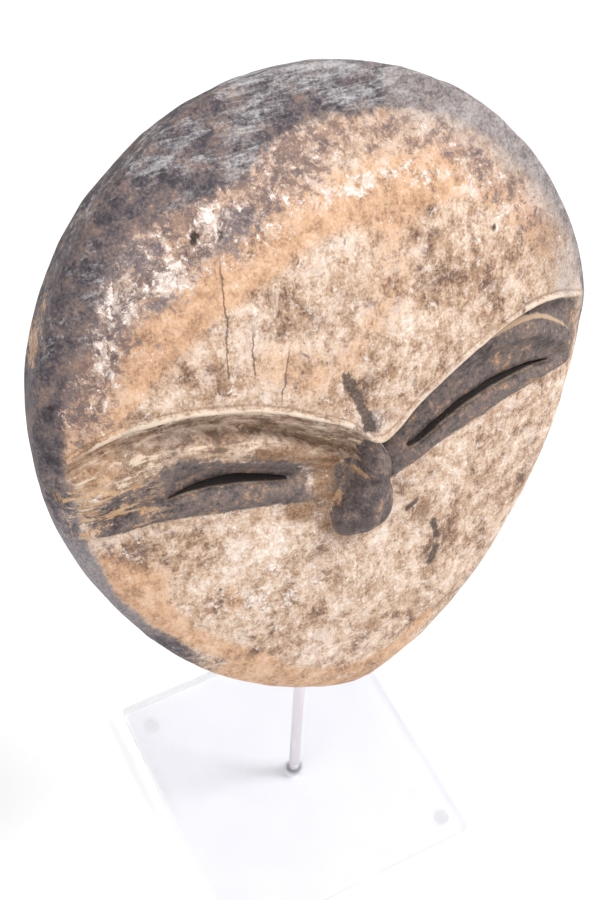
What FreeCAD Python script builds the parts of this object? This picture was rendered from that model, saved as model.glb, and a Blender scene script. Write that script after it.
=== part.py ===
"""Carved wooden face mask standing on a post with a clear square base.

Millimetres, +Z up, the mask looks along -Y. The origin is the middle of the stand's
footprint, at the underside of the feet. The mask is carved in its own plane (u to the
right, w up the face, v out of the face) and is then leaned back onto its holder.
"""
import FreeCAD, Part
import math
import os

from FreeCAD import Vector

# ---------------------------------------------------------------- stand
BASE_SIDE = 150.0            # the clear plate is square
BASE_THICKNESS = 10.0
BASE_CORNER = 2.0            # radius of the plate's upright corners
BASE_BEVEL = 0.6             # polished bevel along the plate's edges
FOOT_RADIUS = 5.0
FOOT_HEIGHT = 2.0
FOOT_INSET = 13.0            # from the plate's side to a foot's centre
POST_RADIUS = 3.0
POST_ABOVE_YOKE = 9.0        # post left standing above the yoke's cross bar
SOCKET_DEPTH = 5.0           # how far the post drops into the plate
SOCKET_PLAY = 0.05           # radial running clearance of post and socket
SCREW_RADIUS = 2.0
SCREW_HEAD_RADIUS = 3.8
SCREW_HEAD_HEIGHT = 1.8
SCREW_BITE = 12.0            # length of thread inside the post
SCREW_PLAY = 0.2             # radial gap of the screw in the plate
THREAD_PLAY = 0.02
HEX_WIDTH = 2.5              # key size of the screw's socket, across flats
HEX_DEPTH = 1.0
WASHER_RADIUS = 4.5
WASHER_THICKNESS = 0.8
RECESS_RADIUS = 5.5          # pocket under the plate for washer and head
RECESS_DEPTH = 3.0

# ---------------------------------------------------------------- holder
WIRE_RADIUS = 2.0            # bent rod of the yoke and the chin rest
BRAZE_SINK = 1.0             # how far a bent rod is coped into the post
PRONG_SPREAD = 30.0          # each prong's distance from the middle
PRONG_DEPTH = 14.0           # the yoke lies this far in front of the mask's back plane
YOKE_BEND = 9.0              # bend radius on the rod's centre line
TIP_WALL = 1.0               # soft tip: wall around the prong
TIP_LENGTH = 14.0            # soft tip: length along the prong, below its round end
TIP_GAP = 0.3                # tip to the inside of the mask
SLEEVE_PLAY = 0.05
REST_HALF_LENGTH = 20.0      # chin rest: half the cross bar
REST_UP = 8.5                # chin rest: height above the lowest point of the back rim
SLEEVE_LENGTH = 16.0
SLEEVE_WALL = 1.0

# ---------------------------------------------------------------- mask
MASK_HALF_WIDTH = 109.0
CROWN_RISE = 117.5           # widest line to the top of the back rim
CHIN_DROP = 149.0            # widest line to the bottom of the back rim
CROWN_POWER = 2.05           # superellipse powers of the outline
CHIN_POWER = 1.64
SIDE_DEPTH = 33.0            # depth of the side wall
CROWN_DEPTH = 5.0            # depth of the wall at the top, where the brow rolls back
FOREHEAD_HEIGHT = 46.0       # greatest height of the face above the back plane
CHEEK_HEIGHT = 38.0
CHEEK_EDGE = 31.0            # height of the cheeks at the side wall
FLARE = 0.055                # the face is this much wider than the back rim
LEAN = 16.5                  # degrees that the mask leans back
MASK_BACK_Y = 13.7           # back plane on the widest line, behind the post's axis
MASK_CENTRE_Z = 320.0        # the widest line above the feet
RIM_WALL = 9.0               # width of the back rim
FACE_WALL = 9.0              # wood in front of the hollow
HOLLOW_STEP_LOW = 18.0       # the hollow deepens from the cheeks to the forehead
HOLLOW_STEP_HIGH = 50.0      # between these heights
OVERSHOOT = 30.0             # how far cutting bodies run past the wood
LID_SINK = 9.0               # depth of the lid and nose roots in the cheeks
LID_RIDGE = 3.0              # upper ridge of the eye above the cheeks
LID_BORDER = 1.0
LOWER_LID = 2.0
RIDGE_WIDTH = 8.0
LID_EDGE = 2.5               # lid edges to the middle of the slit
LASH_SLOT = 4.0              # lashing slots in the side walls: width and length
LASH_LENGTH = 8.0
LASH_DOWN = 21.0             # below the widest line
LASH_IN = 9.0                # in front of the back plane

# lower edge of the brow, from the middle out: distance from the middle, height
BROW_LINE = [(0, -14), (5, -12), (30, 4), (59, 15), (84, 17), (100, 11), (118, 2), (150, -20)]
# one eye, from the nose out: distance, top of the ridge, slit, lower lid
EYE_STATIONS = [
    (12, -9.5, -20, -32),
    (25, 1, -20, -30),
    (42, 8, -16, -26),
    (60, 10.5, -12, -22.5),
    (78, 7.5, -11.5, -19.5),
    (92, 2, -12, -17.5),
    (104, -7, -13, -16.5),
]
SLIT_UPPER = [(24, -20), (40, -15), (56, -10.5), (66, -10), (73, -11.5)]
SLIT_LOWER = [(60, -13), (45, -16.5), (32, -20.5)]
# nose, from the bridge down: height, half width, height above the cheeks
NOSE_STATIONS = [
    (-8, 4.5, 6.0),
    (-18, 6.5, 8.5),
    (-26, 6.0, 7.5),
    (-35, 13.0, 10.0),
    (-43, 12.5, 9.0),
    (-49, 8.0, 3.5),
]

OUTLINE_POINTS = 48
SURFACE_STEP = 10.0          # spacing of the points that carve the face
UP = Vector(0, 0, 1)

base_bottom = FOOT_HEIGHT
base_top = FOOT_HEIGHT + BASE_THICKNESS
socket_floor = base_top - SOCKET_DEPTH
recess_roof = base_bottom + RECESS_DEPTH
lean = math.radians(LEAN)
mask_place = FreeCAD.Placement(
    Vector(0, MASK_BACK_Y, MASK_CENTRE_Z), FreeCAD.Rotation(Vector(1, 0, 0), 90 - LEAN)
)


def at_mask(u, w, v):
    """Point of the mask's own plane in the stand's frame."""
    return mask_place.multVec(Vector(u, w, v))


# ================================================================ carving
def signed_power(value, power):
    return math.copysign(abs(value) ** power, value)


def outline_point(turn, inset=0.0, scale=1.0):
    """Point of the outline: a superellipse with its own height and power above and below."""
    upper = math.sin(turn) >= 0
    power = CROWN_POWER if upper else CHIN_POWER
    rise = (CROWN_RISE if upper else CHIN_DROP) - inset
    u = (MASK_HALF_WIDTH - inset) * signed_power(math.cos(turn), 2 / power)
    w = rise * signed_power(math.sin(turn), 2 / power)
    return u * scale, w * scale


def outline_wire(height, inset=0.0):
    scale = 1 + FLARE * height / SIDE_DEPTH
    points = []
    for step in range(OUTLINE_POINTS):
        u, w = outline_point(2 * math.pi * step / OUTLINE_POINTS, inset, scale)
        points.append(Vector(u, w, height))
    curve = Part.BSplineCurve()
    curve.interpolate(points, PeriodicFlag=True)
    return Part.Wire([curve.toShape()])


def flared_block(low, high, inset=0.0):
    """The outline's block, a little wider in front than at the back."""
    return Part.makeLoft([outline_wire(low, inset), outline_wire(high, inset)], True, True)


def face_height(u, w, middle, side, crown, inset=0.0):
    """Height of a domed face: the edge height plus what the dome adds towards the middle."""
    power = CROWN_POWER if w >= 0 else CHIN_POWER
    rise = (CROWN_RISE if w >= 0 else CHIN_DROP) - inset
    across = abs(u) / (MASK_HALF_WIDTH - inset)
    along = abs(w) / rise
    radius = (across ** power + along ** power) ** (1 / power)
    upward = along ** 2 / (across ** 2 + along ** 2) if w > 0 else 0.0
    edge = side + (crown - side) * upward ** 2
    dome = 2 + upward
    return edge + (middle - edge) * (1 - radius ** dome)


def smooth_step(value, low, high):
    share = min(1.0, max(0.0, (value - low) / (high - low)))
    return share * share * (3 - 2 * share)


def forehead(u, w):
    return face_height(u, w, FOREHEAD_HEIGHT, SIDE_DEPTH, CROWN_DEPTH)


def cheeks(u, w):
    return face_height(u, w, CHEEK_HEIGHT, CHEEK_EDGE, CHEEK_EDGE)


def hollow_roof(u, w):
    """Inside of the hollow: a wall's thickness behind the cheeks and the forehead."""
    share = smooth_step(w, HOLLOW_STEP_LOW, HOLLOW_STEP_HIGH)
    middle = CHEEK_HEIGHT + (FOREHEAD_HEIGHT - CHEEK_HEIGHT) * share - FACE_WALL
    return face_height(u, w, middle, CHEEK_EDGE - FACE_WALL, 0, RIM_WALL)


def block_under(height_at):
    """Everything below a smooth surface that is given by its height over the plane."""
    half_columns = math.ceil((MASK_HALF_WIDTH * (1 + 2 * FLARE)) / SURFACE_STEP)
    rows_down = math.ceil(CHIN_DROP * (1 + 2 * FLARE) / SURFACE_STEP)
    rows_up = math.ceil(CROWN_RISE * (1 + 2 * FLARE) / SURFACE_STEP)
    grid = []
    for column in range(-half_columns, half_columns + 1):
        u = column * SURFACE_STEP
        line = []
        for row in range(-rows_down, rows_up + 1):
            w = (row + 0.5) * SURFACE_STEP
            line.append(Vector(u, w, height_at(u, w)))
        grid.append(line)
    surface = Part.BSplineSurface()
    surface.interpolate(grid)
    return surface.toShape().extrude(Vector(0, 0, -3 * FOREHEAD_HEIGHT))


def mirrored(shape):
    return shape.mirror(Vector(0, 0, 0), Vector(1, 0, 0))


def spline_edge(points):
    curve = Part.BSplineCurve()
    curve.interpolate(points)
    return curve.toShape()


def below_brow():
    """Everything below the brow's edge, which runs right across the mask."""
    right = [Vector(u, w, 0) for u, w in BROW_LINE]
    left = [Vector(-point.x, point.y, 0) for point in reversed(right[1:])]
    brow = spline_edge(left + right)
    floor = -CHIN_DROP - OVERSHOOT
    start, end = left[0], right[-1]
    sides = Part.makePolygon([end, Vector(end.x, floor, 0), Vector(start.x, floor, 0), start])
    face = Part.Face(Part.Wire([brow] + sides.Edges))
    return face.extrude(Vector(0, 0, FOREHEAD_HEIGHT + OVERSHOOT))


def eye_lids():
    """Ridge, upper lid and lower lid of the right eye, lofted from the nose outwards."""
    sections = []
    for u, ridge, slit, lower in EYE_STATIONS:
        rest = cheeks(u, slit)
        middle = (slit - LID_EDGE + lower) / 2
        band = min(RIDGE_WIDTH, 0.5 * (ridge - slit - LID_EDGE))
        profile = [
            (ridge + LID_BORDER, rest - LID_SINK),
            (ridge + LID_BORDER, rest),
            (ridge, rest + LID_RIDGE),
            (ridge - band, rest + LID_RIDGE),
            (slit + LID_EDGE, rest + LID_BORDER),
            (slit - LID_EDGE, rest + LID_BORDER),
            (middle, rest + LOWER_LID),
            (lower, rest - LID_BORDER),
            (lower, rest - LID_SINK),
        ]
        corners = [Vector(u, w, v) for w, v in profile]
        sections.append(Part.makePolygon(corners + corners[:1]))
    return Part.makeLoft(sections, True, False)


def eye_slit():
    upper = [Vector(u, w, -OVERSHOOT) for u, w in SLIT_UPPER]
    lower = [upper[-1]] + [Vector(u, w, -OVERSHOOT) for u, w in SLIT_LOWER] + [upper[0]]
    face = Part.Face(Part.Wire([spline_edge(upper), spline_edge(lower)]))
    return face.extrude(Vector(0, 0, FOREHEAD_HEIGHT + 2 * OVERSHOOT))


def nose():
    sections = []
    for w, half_width, height in NOSE_STATIONS:
        root = cheeks(0, w) - LID_SINK
        top = height + LID_SINK
        arch = []
        for step in range(9):
            turn = math.pi * step / 8
            arch.append(Vector(half_width * math.cos(turn), w, root + top * math.sin(turn)))
        sections.append(Part.Wire([spline_edge(arch), Part.makeLine(arch[-1], arch[0])]))
    return Part.makeLoft(sections, True, False)


def lashing_slots():
    """One slot through each side wall, for the cord that once held the mask on."""
    length = 2 * MASK_HALF_WIDTH + 2 * OVERSHOOT
    start = Vector(-length / 2, -LASH_DOWN, LASH_IN)
    shift = Vector(0, (LASH_LENGTH - LASH_SLOT) / 2, 0)
    radius = LASH_SLOT / 2
    axis = Vector(1, 0, 0)
    ends = [Part.makeCylinder(radius, length, start + side, axis) for side in (shift, -shift)]
    box = Part.makeBox(length, 2 * shift.y, LASH_SLOT, start - shift - Vector(0, 0, radius))
    return ends[0].fuse([ends[1], box]).removeSplitter()


def mask_body():
    face_top = FOREHEAD_HEIGHT + OVERSHOOT / 2
    wood = flared_block(0, face_top).common(block_under(forehead))
    wood = wood.cut(below_brow().cut(block_under(cheeks)))
    lids = eye_lids()
    relief = lids.fuse([mirrored(lids), nose()]).common(flared_block(0, face_top))
    wood = wood.fuse(relief)
    hollow = flared_block(-OVERSHOOT, face_top, RIM_WALL).common(block_under(hollow_roof))
    slit = eye_slit()
    wood = wood.cut(hollow).cut([slit, mirrored(slit)]).cut(lashing_slots())
    wood.Placement = mask_place
    return wood


# ================================================================ stand
def rounded_plate():
    half = BASE_SIDE / 2
    corner = Vector(-half, -half, base_bottom)
    plate = Part.makeBox(BASE_SIDE, BASE_SIDE, BASE_THICKNESS, corner)
    upright = [edge for edge in plate.Edges if abs(edge.tangentAt(edge.FirstParameter).z) > 0.5]
    plate = plate.makeFillet(BASE_CORNER, upright)
    flats = [face for face in plate.Faces if abs(face.normalAt(0, 0).z) > 0.5]
    rims = [edge for face in flats for edge in face.Edges]
    return plate.makeChamfer(BASE_BEVEL, rims)


def base_plate():
    plate = rounded_plate()
    socket = Part.makeCylinder(
        POST_RADIUS + SOCKET_PLAY, SOCKET_DEPTH, Vector(0, 0, socket_floor)
    )
    screw_hole = Part.makeCylinder(
        SCREW_RADIUS + SCREW_PLAY, BASE_THICKNESS, Vector(0, 0, base_bottom)
    )
    recess = Part.makeCylinder(RECESS_RADIUS, RECESS_DEPTH, Vector(0, 0, base_bottom))
    return plate.cut([socket, screw_hole, recess])


def foot(side_x, side_y):
    reach = BASE_SIDE / 2 - FOOT_INSET
    pad = Part.makeCylinder(FOOT_RADIUS, FOOT_HEIGHT, Vector(side_x * reach, side_y * reach, 0))
    lowest = [edge for edge in pad.Edges if edge.BoundBox.ZMax < FOOT_HEIGHT / 2]
    return pad.makeFillet(FOOT_HEIGHT / 4, lowest)


def post_washer():
    floor = recess_roof - WASHER_THICKNESS
    ring = Part.makeCylinder(WASHER_RADIUS, WASHER_THICKNESS, Vector(0, 0, floor))
    hole = Part.makeCylinder(SCREW_RADIUS + SCREW_PLAY, WASHER_THICKNESS, Vector(0, 0, floor))
    return ring.cut(hole)


def post_screw():
    head_top = recess_roof - WASHER_THICKNESS
    head_bottom = head_top - SCREW_HEAD_HEIGHT
    head = Part.makeCylinder(SCREW_HEAD_RADIUS, SCREW_HEAD_HEIGHT, Vector(0, 0, head_bottom))
    shank_length = socket_floor + SCREW_BITE - head_top
    shank = Part.makeCylinder(SCREW_RADIUS, shank_length, Vector(0, 0, head_top))
    corner_radius = HEX_WIDTH / math.sqrt(3)
    corners = []
    for step in range(7):
        turn = math.radians(60 * step)
        corners.append(
            Vector(corner_radius * math.cos(turn), corner_radius * math.sin(turn), head_bottom)
        )
    key = Part.Face(Part.makePolygon(corners)).extrude(UP * HEX_DEPTH)
    return head.fuse(shank).cut(key).removeSplitter()


# ================================================================ holder
def coped_height():
    """Where the yoke's cross bar meets the post: its place up the mask and above the feet."""
    back = POST_RADIUS + WIRE_RADIUS - BRAZE_SINK
    up_mask = (back - MASK_BACK_Y + PRONG_DEPTH * math.cos(lean)) / math.sin(lean)
    return up_mask, at_mask(0, up_mask, PRONG_DEPTH).z


def post_cylinder():
    top = coped_height()[1] + POST_ABOVE_YOKE
    return Part.makeCylinder(POST_RADIUS, top - socket_floor, Vector(0, 0, socket_floor))


def post_rod():
    rod = post_cylinder()
    crown = [edge for edge in rod.Edges if edge.BoundBox.ZMin > MASK_CENTRE_Z]
    rod = rod.makeFillet(POST_RADIUS / 3, crown)
    thread_depth = SCREW_BITE + SCREW_RADIUS
    thread = Part.makeCylinder(
        SCREW_RADIUS + THREAD_PLAY, thread_depth, Vector(0, 0, socket_floor)
    )
    return rod.cut(thread)


def tip_centre():
    """Centre of a soft tip's round end, in the mask's plane, resting under the hollow's crown."""
    reach = WIRE_RADIUS + TIP_WALL + TIP_GAP
    low, high = 0.0, CROWN_RISE
    for _ in range(40):
        w = (low + high) / 2
        rise = 0.5
        slope = (hollow_roof(PRONG_SPREAD, w + rise) - hollow_roof(PRONG_SPREAD, w - rise)) / (2 * rise)
        gap = (hollow_roof(PRONG_SPREAD, w) - PRONG_DEPTH) / math.sqrt(1 + slope ** 2)
        low, high = (w, high) if gap > reach else (low, w)
    return low


def yoke_path():
    """Centre line of the yoke in the mask's plane: up one prong, across, up the other."""
    bar, tip = coped_height()[0], tip_centre()
    s, bend, v = PRONG_SPREAD, YOKE_BEND, PRONG_DEPTH
    mid = bend * (1 - math.sqrt(0.5))
    left = Part.Arc(Vector(-s, bar + bend, v), Vector(-s + mid, bar + mid, v), Vector(-s + bend, bar, v))
    right = Part.Arc(Vector(s - bend, bar, v), Vector(s - mid, bar + mid, v), Vector(s, bar + bend, v))
    edges = [
        Part.makeLine(Vector(-s, tip, v), Vector(-s, bar + bend, v)),
        left.toShape(),
        Part.makeLine(Vector(-s + bend, bar, v), Vector(s - bend, bar, v)),
        right.toShape(),
        Part.makeLine(Vector(s, bar + bend, v), Vector(s, tip, v)),
    ]
    return Part.Wire(edges)


def prong_yoke():
    path = yoke_path()
    start = Vector(-PRONG_SPREAD, tip_centre(), PRONG_DEPTH)
    ring = Part.Wire([Part.makeCircle(WIRE_RADIUS, start, Vector(0, 1, 0))])
    yoke = path.makePipeShell([ring], True, True)
    yoke.Placement = mask_place
    return yoke.cut(post_cylinder())


def prong_tip(side):
    """Soft cap pushed over a prong's end."""
    top = tip_centre()
    outer = WIRE_RADIUS + TIP_WALL
    foot_point = Vector(side * PRONG_SPREAD, top - TIP_LENGTH, PRONG_DEPTH)
    sleeve = Part.makeCylinder(outer, TIP_LENGTH, foot_point, Vector(0, 1, 0))
    cap = Part.makeSphere(outer, foot_point + Vector(0, TIP_LENGTH, 0))
    bore = Part.makeCylinder(WIRE_RADIUS + SLEEVE_PLAY, TIP_LENGTH, foot_point, Vector(0, 1, 0))
    tip = sleeve.fuse(cap).cut(bore).removeSplitter()
    tip.Placement = mask_place
    return tip


def rest_centre():
    """Middle of the chin rest's bar, just behind the lower rim of the mask."""
    behind = WIRE_RADIUS + SLEEVE_WALL + TIP_GAP
    return at_mask(0, -CHIN_DROP + REST_UP, -behind)


def chin_rest():
    middle = rest_centre()
    bar_start = middle - Vector(REST_HALF_LENGTH, 0, 0)
    bar = Part.makeCylinder(WIRE_RADIUS, 2 * REST_HALF_LENGTH, bar_start, Vector(1, 0, 0))
    stem_length = -middle.y
    stem = Part.makeCylinder(WIRE_RADIUS, stem_length, middle, Vector(0, 1, 0))
    return bar.fuse(stem).cut(post_cylinder()).removeSplitter()


def chin_sleeve(side):
    """Soft tube over one half of the chin rest's bar."""
    gap = REST_HALF_LENGTH - SLEEVE_LENGTH
    start = rest_centre() + Vector(side * gap, 0, 0)
    axis = Vector(side, 0, 0)
    tube = Part.makeCylinder(WIRE_RADIUS + SLEEVE_WALL, SLEEVE_LENGTH, start, axis)
    return tube.cut(Part.makeCylinder(WIRE_RADIUS + SLEEVE_PLAY, SLEEVE_LENGTH, start, axis))


# ================================================================ assembly
def assembly():
    nodes = {
        "mask_body": mask_body(),
        "base_plate": base_plate(),
        "post_rod": post_rod(),
        "post_screw": post_screw(),
        "post_washer": post_washer(),
        "prong_yoke": prong_yoke(),
        "chin_rest": chin_rest(),
    }
    for name, side in (("left", -1), ("right", 1)):
        nodes["prong_tip_" + name] = prong_tip(side)
        nodes["chin_sleeve_" + name] = chin_sleeve(side)
        for row, depth in (("front", -1), ("back", 1)):
            nodes["foot_" + row + "_" + name] = foot(side, depth)
    return nodes


os.makedirs("parts", exist_ok=True)
for node, shape in assembly().items():
    shape.exportStep("parts/" + node + ".step")
    box = shape.BoundBox
    print(node, len(shape.Solids), "solid,", round(shape.Volume), "mm3, valid", shape.isValid(),
          [round(x, 1) for x in (box.XMin, box.YMin, box.ZMin, box.XMax, box.YMax, box.ZMax)])
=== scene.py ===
# %% [markdown]
# # A carved wooden face mask on a clear display stand
# The real object is one hollowed piece of wood, painted with white clay and ochre and worn for
# years, that hangs on a bent-rod holder above a clear square plate. The stand's small parts keep
# the shapes of the construction model and only get finishes here. The mask is carved again as a
# fine surface, because its relief, wear and paint are what the eye looks at.

# %% Load the construction model
import math

import bpy
import numpy as np
from mathutils import Matrix, Vector


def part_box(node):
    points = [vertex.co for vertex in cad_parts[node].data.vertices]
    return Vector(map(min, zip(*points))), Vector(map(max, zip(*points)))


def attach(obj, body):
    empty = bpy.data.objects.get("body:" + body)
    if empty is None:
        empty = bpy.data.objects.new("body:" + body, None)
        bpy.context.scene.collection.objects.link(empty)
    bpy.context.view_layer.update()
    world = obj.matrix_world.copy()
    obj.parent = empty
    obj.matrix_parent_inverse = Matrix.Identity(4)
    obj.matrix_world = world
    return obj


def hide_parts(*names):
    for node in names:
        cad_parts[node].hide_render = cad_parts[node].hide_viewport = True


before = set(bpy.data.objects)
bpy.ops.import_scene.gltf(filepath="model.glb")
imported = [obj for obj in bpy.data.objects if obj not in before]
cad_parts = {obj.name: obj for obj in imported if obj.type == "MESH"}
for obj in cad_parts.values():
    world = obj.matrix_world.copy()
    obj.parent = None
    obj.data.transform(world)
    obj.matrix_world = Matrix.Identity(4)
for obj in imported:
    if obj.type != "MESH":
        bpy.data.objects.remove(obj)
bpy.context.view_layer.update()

# %% [markdown]
# ## The mask's own plane
# A carver thinks of the mask lying on its back: u runs to the right, w up the face and v out of
# the face. All carving below is worked out there in millimetres, and one turn and one shift lean
# the finished mask back onto its holder. The outline is a superellipse with one power for the
# crown and a smaller one for the narrower chin.

# %% Driving sizes of the mask, in millimetres
MM = 0.001
HALF_WIDTH = 109.0
CROWN_RISE = 117.5
CHIN_DROP = 149.0
CROWN_POWER = 2.05
CHIN_POWER = 1.64
SIDE_DEPTH = 33.0
CROWN_DEPTH = 5.0
FOREHEAD_HEIGHT = 46.0
CHEEK_HEIGHT = 38.0
CHEEK_EDGE = 31.0
FLARE = 0.055
LEAN = math.radians(16.5)
BACK_Y = 13.7
CENTRE_Z = 320.0
RIM_WALL = 9.0
FACE_WALL = 9.0
CROWN_ROUND = 9.0            # how tightly the face turns into the wall; less is rounder
CHIN_ROUND = 5.0


def smooth_step(value, low, high):
    """0 below low, 1 above high, and s^2 (3 - 2 s) between them, with s the share of the way."""
    share = np.clip((value - low) / (high - low), 0, 1)
    return share * share * (3 - 2 * share)


def halves(w):
    """The outline's power and how far it reaches from the middle, for the crown and the chin."""
    return np.where(w >= 0, CROWN_POWER, CHIN_POWER), np.where(w >= 0, CROWN_RISE, CHIN_DROP)


def outline_radius(u, w, inset=0.0):
    """1 on the outline: (|u|/a)^n + (|w|/b)^n, to the power 1/n, with n and b for each half."""
    power, rise = halves(w)
    total = (np.abs(u) / (HALF_WIDTH - inset)) ** power + (np.abs(w) / (rise - inset)) ** power
    return total ** (1 / power)


def outline_half_width(w, scale):
    """Half width of the outline, scaled, at height w: a (1 - (|w|/b)^n)^(1/n)."""
    power, rise = halves(w)
    share = np.clip(1 - (np.abs(w) / (rise * scale)) ** power, 0, 1)
    return HALF_WIDTH * scale * share ** (1 / power)


def face_dome(u, w, middle, side, crown, inset=0.0):
    """Domed face: edge + (middle - edge) (1 - radius^k), with an edge that sinks at the crown."""
    rise = halves(w)[1] - inset
    across = (u / (HALF_WIDTH - inset)) ** 2
    along = (w / rise) ** 2
    upward = np.where(w > 0, along / (across + along + 1e-9), 0.0)
    edge = side + (crown - side) * upward ** 2
    radius = outline_radius(u, w, inset)
    return edge + (middle - edge) * (1 - radius ** (2 + upward))


def shoulder(w, radius, crown_round=CROWN_ROUND, chin_round=CHIN_ROUND):
    """Roll-off towards the wall: (1 - radius^N)^(1/N), with N smaller, so rounder, at the chin."""
    down = np.clip(-w / CHIN_DROP, 0, 1) ** 2
    power = crown_round + (chin_round - crown_round) * down
    return np.clip(1 - np.clip(radius, 0, 1) ** power, 0, 1) ** (1 / power)


# (angle round the outline in degrees from the right, size of the outline there)
HAND_CUT = [(-180, 1.0), (-120, 0.998), (-103, 0.987), (-88, 1.0), (-60, 0.994), (-15, 0.996),
            (2, 1.01), (14, 0.998), (28, 0.986), (44, 0.986), (58, 0.998), (90, 1.0), (180, 1.0)]


def hand_cut(u, w, radius):
    """The outline as the hand left it: near its edge it grows or shrinks by a hundredth or so."""
    angle, size = np.array(HAND_CUT, float).T
    share = np.interp(np.degrees(np.arctan2(w, u)), angle, size)
    return 1 + (share - 1) * np.clip(radius, 0, 1) ** 3


print("mask outline", 2 * HALF_WIDTH, "x", CROWN_RISE + CHIN_DROP, "mm")

# %% [markdown]
# ## Lines that the carver drew
# The relief is a stack of lines that run across the face from the left edge to the right edge:
# the foot and crest of the lower lid, the two edges of the slit, the crease of the upper lid, the
# ridge above it, the groove and the thin lip of the brow. A drawn line is a few points with
# straight runs between them, smoothed by a moving average, so it wanders as a knife does.

# %% Drawn lines: (distance from the middle, height) from left to right
LID_FOOT = [
    (-108, -19.5), (-98, -19), (-85, -18), (-69, -19), (-50, -23), (-30, -27.5), (-13, -34),
    (0, -38), (13, -34), (25, -31), (35, -27.5), (50, -24), (66, -20.5), (87, -18), (108, -19),
]
SLIT_LOWER = [
    (-108, -15), (-98, -14), (-85, -13), (-72, -11.6), (-62, -10.9), (-52, -12.2), (-44, -13.8),
    (-37, -16.2), (-30, -18.6), (-22, -20.8), (-12, -22.8), (0, -23.6), (12, -25.8),
    (27, -25.0), (37, -19.9), (46, -16.6), (59, -13.4), (76, -12.2), (88, -13), (98, -15),
    (108, -16.2),
]
SLIT_UPPER = [
    (-108, -14), (-98, -13), (-85, -12.2), (-72, -11), (-65, -9.4), (-60, -8.8), (-55, -8.3),
    (-50, -8.8), (-45, -9.5), (-41, -11.0), (-36, -13), (-32, -15.2), (-26, -18.4),
    (-12, -21.6), (0, -22.6), (12, -24.8), (20, -24.6), (26, -22.6), (33, -18.8), (45, -13.8),
    (57, -10.8), (68, -9.8), (76, -9.4), (88, -12), (98, -14), (108, -15.2),
]
LID_CREASE = [
    (-108, -9), (-98, -8), (-87, -5), (-76, -1), (-64, 2.5), (-52, 1), (-42, -3), (-29, -7.5),
    (-21, -11.5), (-12, -16), (0, -20), (8, -22), (14, -19), (20, -15), (33, -9), (45, -4),
    (57, -0.5), (68, 1), (78, -1), (88, -7), (97, -12.5), (108, -14.4),
]
GROOVE = [
    (-108, 4), (-99, 8), (-87, 12), (-76, 14), (-65, 14), (-53, 12), (-42, 8), (-31, 3),
    (-23, -1), (-15, -7), (-9, -12), (0, -16), (6, -18.5), (12, -14), (18, -8), (25, -3.5),
    (34, 1.5), (45, 6), (55, 10.5), (64, 13.2), (71, 14), (79, 13), (86, 9), (92, 4), (99, -3),
    (108, -9),
]
BROW_LIP = [
    (-110, 9), (-101, 14), (-94, 18), (-85, 21), (-77, 23), (-67, 23), (-57, 22), (-47, 20),
    (-36, 17), (-25, 12), (-15, 6), (-5, 0), (1, -6), (4, -10.5), (8, -11.5), (14, -8), (19, -4),
    (25, 0), (37, 6), (46, 10), (55, 13), (63, 15), (71, 17), (80, 17), (89, 15), (98, 11),
    (110, 4),
]
LINE_STEP = 0.5
DRAWN_U = np.arange(-130, 130 + LINE_STEP, LINE_STEP)


def drawn_line(points, u, soften=3.0):
    """Height of a drawn line at u: straight runs between its points, averaged over a few mm."""
    across, height = np.array(points, float).T
    line = np.interp(DRAWN_U, across, height)
    count = max(1, int(round(soften / LINE_STEP)))
    kernel = np.ones(count) / count
    for _ in range(3):
        padded = np.pad(line, (count // 2, count - 1 - count // 2), mode="edge")
        line = np.convolve(padded, kernel, mode="valid")
    return np.interp(u, DRAWN_U, line)


print("drawn lines: 6, longest", len(BROW_LIP), "points")

# %% [markdown]
# ## From lines to rows
# Every line becomes a row of the surface grid, and further rows are filled in between. The filling
# is a monotone cubic, which never runs past the values that it joins, so a groove stays as deep as
# it was drawn. Beside its height up the face, each line carries a lift in millimetres above the
# cheeks, and a share from 0 (belongs to the cheeks) to 1 (belongs to the forehead's dome).

# %% Lines of the face in order, from chin to crown
COLUMNS = 171
EDGE_SHARE = 0.94            # the grid ends here; the shoulder and wall follow
across = np.linspace(-1, 1, COLUMNS)
across = across * (0.78 + 0.22 * across ** 2)      # closer columns near the nose
NOSE_FADE = [(-108, 1), (-22, 1), (-10, 0), (14, 0), (26, 1), (108, 1)]


def arc_line(sign):
    """Height of the crown (+1) or chin (-1) arc over evenly spread u, and its half width."""
    power = CROWN_POWER if sign > 0 else CHIN_POWER
    rise = (CROWN_RISE if sign > 0 else CHIN_DROP) * EDGE_SHARE
    corner = 0.5 ** (1 / power)
    share = np.abs(across) * corner
    return sign * rise * (1 - share ** power) ** (1 / power)


def face_line(points, raise_by=0.0):
    """A drawn line sampled on the grid's columns, ending on the outline."""
    u = across * HALF_WIDTH * EDGE_SHARE
    for _ in range(3):
        height = drawn_line(points, u) + raise_by
        left = outline_half_width(height[0], EDGE_SHARE)
        right = outline_half_width(height[-1], EDGE_SHARE)
        u = np.where(across < 0, across * left, across * right)
    return height


def lift_line(points):
    """A drawn lift, in millimetres above the cheeks, sampled on the grid's columns."""
    return drawn_line(points, across * HALF_WIDTH, soften=5.0)


lid_foot = face_line(LID_FOOT)
slit_lower = face_line(SLIT_LOWER)
slit_upper = np.maximum(face_line(SLIT_UPPER), slit_lower + 0.7)
crease = np.maximum(face_line(LID_CREASE), slit_upper + 1.2)
groove = np.maximum(face_line(GROOVE), crease + 3.0)
lip = np.maximum(face_line(BROW_LIP), groove + 3.0)
ridge_top = groove - np.clip((groove - crease) * 0.36, 0.6, 2.6 + 1.8 * (across > 0.5))
ridge_low = crease + (ridge_top - crease) * 0.5

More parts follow.
